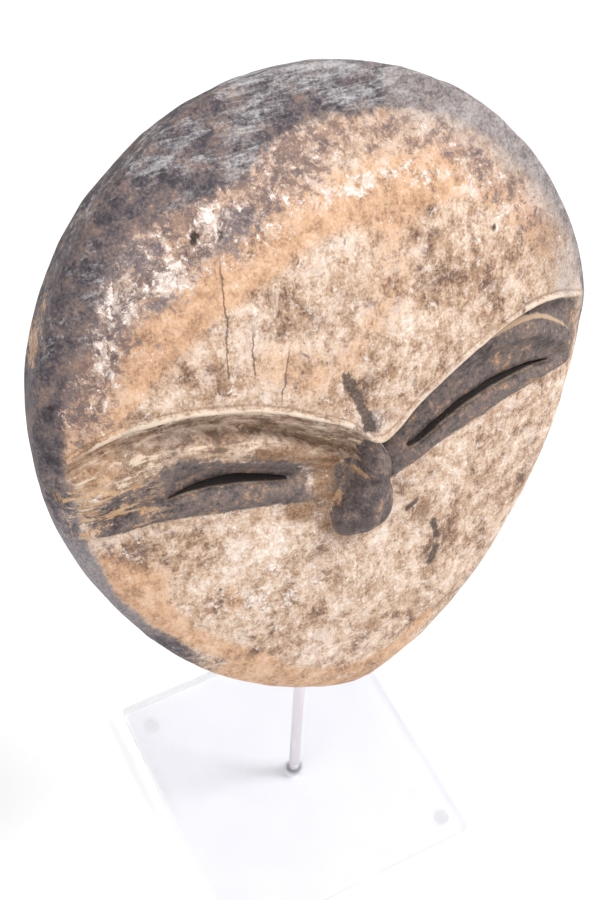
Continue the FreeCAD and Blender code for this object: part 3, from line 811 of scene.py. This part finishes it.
# painted shadow: a dark stroke in the inner corner of the right eye, where the brow and the bead
# shade the lid
inner_corner_shadow = strokes(([(10, -26), (14, -24), (20, -18), (28, -12)], 3.4, 1 - nose))
inner_corner_shadow *= on_grid(smooth_step(brow_line - grid_w, 0.5, 2.0))
chipped = strokes(([(2, -50.5), (8, -50), (13, -47)], 2.0, 0.75),
                  ([(-7, -32), (-10, -37)], 1.4, 0.6))
chipped += spots((0, -24.5, 1.8, 2.4, 0.75), (8, -23, 2, 2, 0.4), (12, -42, 3, 5, 0.4))

fields = {
    "sooty": sooty, "crown": crown, "grey": grey, "veil": veil, "silt": silt, "rubbed": rubbed,
    "ochre": ochre, "flakes": flakes, "tan": tan, "mottle": mottle, "bruise": bruise,
    "worn": worn, "brown_and_painted_shadow": brown_and_painted_shadow, "stain": stain, "dusty_fold_shade": dusty_fold_shade, "streaky": streaky,
    "lids": lids, "ends": ends, "ridge_highlight": ridge_highlight, "brow_edge_highlight": brow_edge_highlight, "slit": slit,
    "inner_corner_shadow": inner_corner_shadow, "nose": nose, "chipped": chipped, "hollow": hollow}
for name, values in fields.items():
    layer = mask.data.attributes.new(name, "FLOAT", "POINT")
    layer.data.foreach_set("value", np.clip(values, 0, 1).astype(np.float32))
for name, vectors in (("carving", points), ("streak_place", streak_place)):
    layer = mask.data.attributes.new(name, "FLOAT_VECTOR", "POINT")
    layer.data.foreach_set("vector", vectors.astype(np.float32).ravel())
print("fields", ", ".join(fields))

# %% [markdown]
# ## The paint itself
# One material lays the coats over each other in the order that they were painted and worn: bare
# wood, white clay, ochre, flaking lime, soil and soot, with painted shade, painted shadows and
# painted highlights among them. A few helpers keep the node graph readable: every coat is a colour
# of its own and a cover, which is its field broken up by noise.

# %% Helpers for node graphs
def shade(red, green, blue):
    """A colour from its usual screen values, 0 to 255, as the linear values that nodes need."""
    channels = [x / 255 for x in (red, green, blue)]
    linear = [x / 12.92 if x <= 0.04045 else ((x + 0.055) / 1.055) ** 2.4 for x in channels]
    return (*linear, 1.0)


class Coats:
    """Builds a node graph in steps; each method adds nodes and returns the last one's output."""

    def __init__(self, name):
        self.material = bpy.data.materials.new(name)
        self.material.use_nodes = True
        self.nodes = self.material.node_tree.nodes
        self.surface = self.nodes["Principled BSDF"]

    def fill(self, node, inputs):
        """Links each socket that is given an output, and sets the others to their constants."""
        for socket, value in inputs.items():
            if isinstance(value, bpy.types.NodeSocket):
                self.material.node_tree.links.new(value, node.inputs[socket])
            else:
                node.inputs[socket].default_value = value

    def node(self, kind, output, inputs, **settings):
        """Adds one node, with its settings and inputs, and returns the named output."""
        node = self.nodes.new("ShaderNode" + kind)
        for setting, value in settings.items():
            setattr(node, setting, value)
        self.fill(node, inputs)
        return node.outputs[output]

    def field(self, name, kind="Fac"):
        return self.node("Attribute", kind, {}, attribute_name=name)

    def maths(self, operation, *values):
        return self.node("Math", 0, dict(enumerate(values)), operation=operation)

    def stretch(self, vector, scale, shift=(0, 0, 0)):
        return self.node("Mapping", 0, {"Vector": vector, "Scale": scale, "Location": shift})

    def noise(self, vector, size, detail=3.0, roughness=0.6, twist=0.0):
        return self.node("TexNoise", "Fac", {"Vector": vector, "Scale": 1 / size, "Detail": detail,
                                             "Roughness": roughness, "Distortion": twist})

    def step(self, value, low, high, bottom=0.0, top=1.0):
        """From bottom to top along a smooth step, as value goes from low to high."""
        return self.node("MapRange", "Result", {"Value": value, "From Min": low, "From Max": high,
                                                "To Min": bottom, "To Max": top},
                         interpolation_type="SMOOTHSTEP")

    def ramp(self, value, *stops):
        """Colour ramp: each stop is a place and the colour's screen values, or its linear RGBA."""
        colour = self.node("ValToRGB", "Color", {"Fac": value})
        marks = colour.node.color_ramp.elements
        for stop in stops[2:]:
            marks.new(stop[0])
        for mark, (place, *tone) in zip(marks, stops):
            mark.position = place
            mark.color = tone if len(tone) == 4 else shade(*tone)
        return colour

    def total(self, *terms):
        """Sum of (noise, weight) pairs, each noise taken about its middle of 0.5, plus 0.5."""
        sum_so_far = 0.5 - 0.5 * sum(weight for _, weight in terms)
        for noise, weight in terms:
            sum_so_far = self.maths("MULTIPLY_ADD", noise, weight, sum_so_far)
        return sum_so_far

    def cover(self, name, noise, spread=0.9, edge=0.1, level=0.5, strength=1.0):
        """A field, times its strength, and noise together, cut to a ragged edge at the level."""
        field = self.field(name)
        if strength != 1:
            field = self.maths("MULTIPLY", field, strength)
        ragged = self.maths("MULTIPLY_ADD", self.maths("SUBTRACT", noise, 0.5), spread, field)
        return self.step(ragged, level - edge, level + edge)

    def lay(self, under, share, over, strength=1.0):
        """One more coat: its share, times its strength, of the colour over what lies there."""
        if strength != 1:
            share = self.maths("MULTIPLY", share, strength)
        over = shade(*over) if isinstance(over, tuple) else over
        return self.node("Mix", 2, {0: share, 6: under, 7: over}, data_type="RGBA")


print("a mid grey in linear values:", round(shade(128, 128, 128)[0], 3))

# %% Noises of the old paint, from broad to fine, some drawn out along one way
paint = Coats("old_paint")
noise, total, cover, ramp, lay = paint.noise, paint.total, paint.cover, paint.ramp, paint.lay
step, maths, field, stretch = paint.step, paint.maths, paint.field, paint.stretch
spot_at = field("carving", "Vector")
broad = noise(spot_at, 26, 3)
middle = noise(spot_at, 8, 5, 0.65)
patchy = noise(stretch(spot_at, (1, 0.7, 1), (31, 7, 3)), 4.0, 7, 0.72, 0.25)
chips = noise(stretch(spot_at, (1, 0.85, 1), (5, 17, 8)), 2.6, 4, 0.6, 0.5)
fine = noise(spot_at, 1.1, 4, 0.7)
grain = noise(stretch(spot_at, (1, 0.12, 1)), 1.3, 4, 0.65)
chalk = noise(stretch(spot_at, (0.9, 1.1, 1), (6, 14, 2)), 10.0, 8, 0.74, 0.8)
scuffs = noise(stretch(spot_at, (0.9, 0.65, 1), (13, 2, 6)), 3.0, 7, 0.74, 0.4)
scrapes = noise(stretch(spot_at, (0.75, 0.9, 1), (4, 22, 9)), 3.4, 7, 0.76, 0.5)
clots = noise(stretch(spot_at, (1, 0.9, 1), (2, 9, 4)), 6.5, 7, 0.76, 0.5)
crumbs = noise(stretch(spot_at, (1, 0.9, 1), (8, 1, 5)), 2.4, 5, 0.76, 0.3)
wash = noise(stretch(spot_at, (0.22, 1, 1), (11, 3, 0)), 3.2, 6, 0.74, 0.4)
specks = noise(spot_at, 1.5, 3, 0.75)
clump = total((clots, 1.1), (crumbs, 0.9), (chips, 0.3), (fine, 0.4))
streaks = total((noise(field("streak_place", "Vector"), 1.0, 5, 0.72, 0.3), 1.6), (crumbs, 0.5),
                (fine, 0.3))
print("noises", len(paint.nodes), "nodes")

# %% [markdown]
# ## Clay and ochre
# The ground coat is white clay whose tone follows the noises. Flakes, scuffs and scrapes lie on
# it, and ochre earth covers it along the arc of the forehead and the edge of the chin.

# %% White clay, scuffed and scraped, and ochre earth
tone = total((patchy, 1.0), (grain, 0.25), (fine, 0.7), (broad, 0.65), (middle, 0.7))
tone = maths("SUBTRACT", tone, maths("MULTIPLY", field("worn"), 0.1))
colour = ramp(tone, (0.2, 100, 76, 62), (0.34, 150, 120, 98), (0.45, 182, 153, 130),
              (0.55, 202, 176, 154), (0.68, 219, 199, 183), (0.8, 240, 229, 220))
colour = lay(colour, step(chalk, 0.52, 0.62, 0.0, 0.42), (232, 216, 206))
colour = lay(colour, step(chalk, 0.47, 0.37, 0.0, 0.5), (166, 132, 104))
colour = lay(colour, step(scuffs, 0.54, 0.66, 0.0, 0.6), (238, 225, 213))
colour = lay(colour, step(scrapes, 0.56, 0.69, 0.0, 0.5), (136, 110, 87))
ochre_cover = cover("ochre", total((patchy, 0.8), (middle, 0.7), (fine, 0.3)), 0.9, 0.2)
colour = lay(colour, ochre_cover, ramp(tone, (0.22, 140, 106, 82), (0.38, 182, 143, 112),
                                       (0.52, 202, 161, 128), (0.75, 218, 184, 156)), 0.9)
print("clay and ochre laid,", len(paint.nodes), "nodes")

# %% [markdown]
# ## Dirt and lime
# Soil holds in the hollows of the worn clay, painted shade with a dusty tint darkens the fold
# above each lid, streaks follow the folds of the lids, and clumps of lime sit on top.

# %% Dirt, bruises, painted fold shade, streaks along the folds, and lime, from the lowest coat up
rosy = cover("tan", total((patchy, 1.0), (crumbs, 0.7)), 1.3, 0.3)
colour = lay(colour, rosy, (176, 146, 128), 0.65)
dirt = ramp(total((middle, 1.0), (crumbs, 0.7), (fine, 0.5)), (0.3, 68, 57, 60),
            (0.44, 98, 86, 88), (0.55, 120, 96, 86), (0.68, 156, 128, 112))
colour = lay(colour, cover("mottle", clump, 2.2, 0.16, 0.46, strength=0.56), dirt, 0.9)
bruised = ramp(total((fine, 0.9), (crumbs, 1.0)), (0.32, 74, 66, 70), (0.5, 108, 98, 101),
               (0.68, 154, 138, 132))
colour = lay(colour, cover("bruise", clump, 1.9, 0.2), bruised, 0.8)
# painted shade with a dusty tint over the fold between the lid's crease and the brow
colour = lay(colour, cover("dusty_fold_shade", patchy, 0.9, 0.3),
             ramp(tone, (0.35, 102, 79, 64), (0.6, 160, 134, 113)), 0.55)
seams = maths("MULTIPLY", step(streaks, 0.54, 0.68), field("streaky"))
colour = lay(colour, seams, (94, 76, 64), 0.75)
glints = maths("MULTIPLY", step(streaks, 0.44, 0.3), field("streaky"))
colour = lay(colour, glints, (228, 208, 186), 0.7)
# painted shadow beside the nose and under the left brow, laid in rust brown together with a few
# brown marks
colour = lay(colour, cover("brown_and_painted_shadow", patchy, 1.2, 0.3),
             ramp(fine, (0.4, 98, 72, 52), (0.62, 150, 112, 78)), 0.75)
haze = cover("flakes", total((crumbs, 0.9), (patchy, 0.8), (clots, -0.6)), 2.2, 0.2, strength=0.5)
colour = lay(colour, haze, (222, 204, 190), 0.6)
lime = ramp(total((fine, 1.0), (patchy, 0.9)), (0.34, 176, 156, 146), (0.48, 216, 200, 191),
            (0.62, 238, 228, 222))
lime_cover = cover("flakes", total((crumbs, -0.8), (clots, -1.4), (chips, 0.3), (fine, 0.25)), 2.3,
                   0.14, 0.56, strength=0.5)
colour = lay(colour, lime_cover, lime, 0.95)
print("dirt and lime laid,", len(paint.nodes), "nodes")

# %% [markdown]
# ## Soot
# Soot is a paint of its own, paler grey towards the right and along the top edge, silted on the
# left and rubbed through where cords and hands wore it. Its cover then lays it over everything so
# far.

# %% Soot on the crown and the walls, paler in places, silted and rubbed, and the grey veil over it
soot = ramp(total((middle, 0.8), (patchy, 0.7), (fine, 0.6)), (0.27, 44, 39, 44),
            (0.43, 72, 65, 71), (0.54, 102, 91, 90), (0.7, 134, 110, 98), (0.84, 178, 166, 160))
pale = total((wash, 1.9), (broad, 1.2), (fine, 0.5), (field("grey"), 0.34), (field("crown"), 0.2))
soot = lay(soot, step(pale, 0.4, 0.95, 0.0, 0.8),
           ramp(total((fine, 0.7), (wash, 0.9)), (0.35, 124, 121, 124), (0.65, 186, 183, 183)))
silted = cover("silt", total((middle, 0.8), (patchy, 0.6)), 0.9, 0.4, strength=0.9)
soot = lay(soot, silted, ramp(fine, (0.38, 124, 117, 121), (0.62, 162, 154, 155)), 0.8)
soot = lay(soot, cover("rubbed", clump, 1.4, 0.14),
           ramp(patchy, (0.4, 160, 118, 84), (0.6, 206, 176, 148)), 0.85)
sooted = cover("sooty", total((middle, 0.6), (crumbs, 0.8), (fine, 0.5)), 1.3, 0.2, 0.47)
colour = lay(colour, sooted, soot)
veiled = cover("veil", total((patchy, 0.7), (wash, 0.6), (middle, 0.6)), 1.1, 0.45)
colour = lay(colour, veiled, ramp(total((patchy, 0.8), (fine, 0.7)), (0.36, 104, 96, 96),
                                  (0.62, 158, 148, 144)), 0.7)
print("soot laid,", len(paint.nodes), "nodes")

# %% [markdown]
# ## Lids, nose, painted shade and stains
# The dark lids and nose come next, with bare streaks at the lids' ends, then a painted shadow in
# the right eye's inner corner, painted shade inside the slits, a painted highlight on the right
# ridge, and the small marks, with a painted highlight along the brow lip last.

# %% Lids, nose, painted shadows and highlights, chips and stains
lid_cover = cover("lids", total((patchy, 1.1), (chips, 0.7), (fine, 0.3)), 1.2, 0.14, 0.46)
colour = lay(colour, lid_cover,
             ramp(total((middle, 0.8), (crumbs, 0.7), (fine, 0.5)), (0.3, 60, 48, 44),
                  (0.46, 98, 88, 87), (0.6, 124, 107, 98), (0.71, 186, 142, 104)))
bared = maths("MULTIPLY", step(streaks, 0.53, 0.61), field("ends"))
colour = lay(colour, bared, ramp(patchy, (0.4, 190, 146, 106), (0.62, 216, 186, 154)), 0.85)
# painted shadow in the inner corner of the right eye
colour = lay(colour, field("inner_corner_shadow"), (44, 35, 34), 0.85)
# painted shade: near black inside the tunnels of the slits and lashing slots
colour = lay(colour, field("slit"), (34, 27, 25))
# painted highlight on the right eye's ridge
colour = lay(colour, cover("ridge_highlight", patchy, 1.2, 0.2), (188, 160, 132), 0.8)
colour = lay(colour, cover("nose", patchy, 0.8, 0.14, 0.55),
             ramp(total((middle, 0.8), (patchy, 0.8), (fine, 0.6)), (0.3, 60, 48, 47),
                  (0.5, 90, 80, 79), (0.63, 118, 103, 96), (0.74, 180, 136, 100)))
colour = lay(colour, cover("chipped", clump, 1.4, 0.2),
             ramp(patchy, (0.4, 158, 118, 82), (0.6, 206, 166, 126)), 0.75)
colour = lay(colour, cover("stain", clump, 1.2, 0.14),
             ramp(fine, (0.4, 58, 48, 44), (0.6, 94, 80, 72)), 0.9)
# painted highlight along the brow lip and the bead's right side
colour = lay(colour, cover("brow_edge_highlight", total((patchy, 1.0), (chips, 0.8)), 1.5, 0.2, 0.55),
             (214, 196, 178), 0.7)
print("lids and stains laid,", len(paint.nodes), "nodes")

# %% [markdown]
# ## Splits and worm holes
# A split is a thin band about a slanted line, bent by noise: |u - slope w - offset| small. A worm
# hole is a small disc, its edge broken by noise.

# %% Splits down the forehead, specks and worm holes
SPLITS = [(-47, 30, -40, 76), (-30, 17, -22, 42), (-37, 28, -35, 52)]   # low end, high end
WORM_HOLES = [(-46, 81.5, 1.5), (-47, 80, 1.2), (-38, 81, 0.9), (-38, 79.6, 0.8), (-71, 21, 1.2),
              (-104, 37, 1.1), (-59, -60, 0.9), (-34, 117, 0.9), (63, 55, 1.4)]   # place, radius
level_place = stretch(spot_at, (1, 1, 0))
along_u, along_w = paint.node("SeparateXYZ", 0, {0: level_place}).node.outputs[:2]
drift = total((middle, 5.0), (patchy, 1.5))
for low_u, low_w, high_u, high_w in SPLITS:
    slope = (high_u - low_u) / (high_w - low_w)
    offset = maths("SUBTRACT", along_u, maths("MULTIPLY", along_w, slope))
    offset = maths("ADD", offset, maths("SUBTRACT", drift, low_u - slope * low_w + 0.5))
    split = step(maths("ABSOLUTE", offset), 0.45, 0.12)
    split = maths("MULTIPLY", split, step(along_w, low_w, low_w + 6))
    split = maths("MULTIPLY", split, step(along_w, high_w, high_w - 8, 0.0, 0.75))
    colour = lay(colour, split, (84, 64, 52))
colour = lay(colour, step(specks, 0.61, 0.7, 0.0, 0.5), (104, 82, 66))
for hole_u, hole_w, hole_size in WORM_HOLES:
    reach = paint.node("VectorMath", "Value", {0: level_place, 1: (hole_u, hole_w, 0)},
                       operation="DISTANCE")
    reach = maths("ADD", reach, maths("MULTIPLY", patchy, 3.0))
    colour = lay(colour, step(reach, hole_size + 1.9, hole_size + 0.9, 0.0, 0.9), (46, 36, 32))
print(len(SPLITS), "splits,", len(WORM_HOLES), "worm holes")

# %% [markdown]
# ## Bare wood and the finished surface
# The hollow was never painted. Small relief comes from the same noises as the colours.

# %% Bare wood in the hollow, and the finished surface
raw = ramp(total((grain, 0.9), (middle, 0.25), (broad, 0.7), (fine, 0.3)), (0.25, 70, 54, 44),
           (0.45, 104, 80, 62), (0.6, 132, 104, 82), (0.78, 168, 140, 114))
colour = lay(colour, field("hollow"), raw)
relief = total((patchy, 0.9), (fine, 0.4), (grain, 0.5), (lime_cover, 0.12), (chips, 0.2))
bump = paint.node("Bump", 0, {"Strength": 0.8, "Distance": 0.7 * MM, "Height": relief})
paint.fill(paint.surface, {"Base Color": colour, "Roughness": step(middle, 0.3, 0.7, 0.62, 0.82),
                           "Specular IOR Level": 0.3, "Normal": bump})
mask.data.materials.append(paint.material)
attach(mask, "mask")
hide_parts("mask_body")
print("old paint:", len(paint.nodes), "nodes")

# %% [markdown]
# ## The clear stand
# The plate, its feet and the soft sleeves are clear; the post, the yoke and the chin rest are
# polished steel rod; the screw and its washer are plated. These pieces keep their own shapes and
# only their material slots are filled.

# %% Finishes of the stand
def wander(coat, tone, size, places, darker):
    """A colour that noise of this size moves between the tone and a darker one."""
    low = [channel * darker for channel in tone[:3]] + [1.0]
    drift = coat.noise(coat.node("TexCoord", "Object", {}), *size)
    return coat.ramp(drift, (places[0], *low), (places[1], *tone))


def finish_for(name, tone, roughness, metallic=0.0, clear=0.0, bend=1.49, opacity=1.0, cloud=0.0):
    """A finish whose colour wanders a little between two tones, with constants on the shader."""
    coat = Coats(name)
    colour = wander(coat, tone, (18 * MM, 3, 0.55), (0.38, 0.62), 1 - cloud)
    coat.fill(coat.surface, {"Base Color": colour, "Roughness": roughness, "Metallic": metallic,
                             "Transmission Weight": clear, "IOR": bend, "Alpha": opacity})
    return coat.material


FINISHES = [
    (finish_for("cast_acrylic", shade(236, 236, 244), 0.05, clear=1.0, bend=1.3, opacity=0.44,
                cloud=0.05), ["base_plate"]),
    (finish_for("polished_rod", shade(230, 223, 226), 0.32, metallic=1.0, cloud=0.03),
     ["post_rod", "prong_yoke", "chin_rest"]),
    (finish_for("plated_screw", shade(244, 244, 246), 0.6, metallic=0.6, cloud=0.06),
     ["post_screw", "post_washer"]),
    (finish_for("soft_sleeve", shade(226, 226, 228), 0.3, clear=0.6, bend=1.4, cloud=0.05),
     ["prong_tip_left", "prong_tip_right", "chin_sleeve_left", "chin_sleeve_right"]),
    (finish_for("clear_foot", shade(246, 246, 250), 0.1, clear=1.0, bend=1.2, opacity=0.05,
                cloud=0.02),
     ["foot_front_left", "foot_front_right", "foot_back_left", "foot_back_right"]),
]
for material, names in FINISHES:
    for name in names:
        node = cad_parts[name]
        if not node.material_slots:
            node.data.materials.append(material)
        for place in node.material_slots:
            place.material = material
print("finishes on", sum(len(names) for _, names in FINISHES), "pieces")

# %% [markdown]
# ## Floor, light and camera
# A white sweep under a bright, even sky leaves almost no shadow on the floor; two large soft
# boxes, the stronger one high on the right, model the relief. The camera looks steeply down from
# the front left, a little turned, through a normal lens.

# %% Floor and light
FLOOR = 3.0                  # half its side, metres
WHITE = (0.883, 0.883, 0.883, 1.0)
sweep = Coats("white_sweep")
colour = wander(sweep, WHITE, (0.4,), (0.3, 0.7), 0.985)
sweep.fill(sweep.surface, {"Base Color": colour, "Roughness": 0.9})
corners = FLOOR * np.array([(-1, -1, 0), (1, -1, 0), (1, 1, 0), (-1, 1, 0)], float)
floor = make_piece("floor", corners, np.array([[0, 1, 2, 3]]))
floor.data.materials.append(sweep.material)

world = bpy.data.worlds.new("studio")
world.use_nodes = True
sky = world.node_tree.nodes["Background"].inputs
sky["Color"].default_value = (1, 1, 1, 1)
sky["Strength"].default_value = 0.8
bpy.context.scene.world = world


def soft_box(name, place, aim, width, watts):
    """A round area light at a place, turned towards its aim."""
    light = bpy.data.lights.new(name, "AREA")
    light.shape = "DISK"
    light.size = width
    light.energy = watts
    box = bpy.data.objects.new(name, light)
    box.location = place
    box.rotation_euler = (Vector(aim) - Vector(place)).to_track_quat("-Z", "Y").to_euler()
    bpy.context.scene.collection.objects.link(box)


MASK_MIDDLE = (0, 0, CENTRE_Z * MM)
soft_box("key", (1.1, -0.5, 1.5), MASK_MIDDLE, 0.7, 26)
soft_box("fill", (-1.2, -0.4, 1.2), MASK_MIDDLE, 0.9, 8)
bpy.context.scene.view_settings.view_transform = "Standard"

# %% Camera
LENS = 49.75                 # millimetres, on a frame of this width:
SENSOR = 36
ELEVATION = 0.863            # how steeply it looks down, radians
HEADING = 0.517              # turned from straight ahead, radians
TILT = -0.053                # roll of the frame, radians
DISTANCE = 0.7083            # to the middle of the plate's top, metres
AIM = (-0.00462, 0.25066)    # that middle's place in the frame: right and down, per unit of depth

base_low, base_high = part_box("base_plate")
plate_middle = (base_low + base_high) / 2
plate_middle.z = base_high.z
ahead = Vector((math.sin(HEADING) * math.cos(ELEVATION), math.cos(HEADING) * math.cos(ELEVATION),
                -math.sin(ELEVATION)))
level = Vector((math.cos(HEADING), -math.sin(HEADING), 0))
right = math.cos(TILT) * level + math.sin(TILT) * ahead.cross(level)
down = ahead.cross(right)
place = plate_middle - DISTANCE * (ahead + AIM[0] * right + AIM[1] * down)
lens = bpy.data.cameras.new("camera")
lens.lens = LENS
lens.sensor_width = SENSOR
lens.clip_start = 0.01
camera = bpy.data.objects.new("camera", lens)
turn = Matrix((right, -down, -ahead)).transposed()
camera.matrix_world = Matrix.Translation(place) @ turn.to_4x4()
bpy.context.scene.collection.objects.link(camera)
bpy.context.scene.camera = camera
print("camera at", [round(x, 3) for x in place])
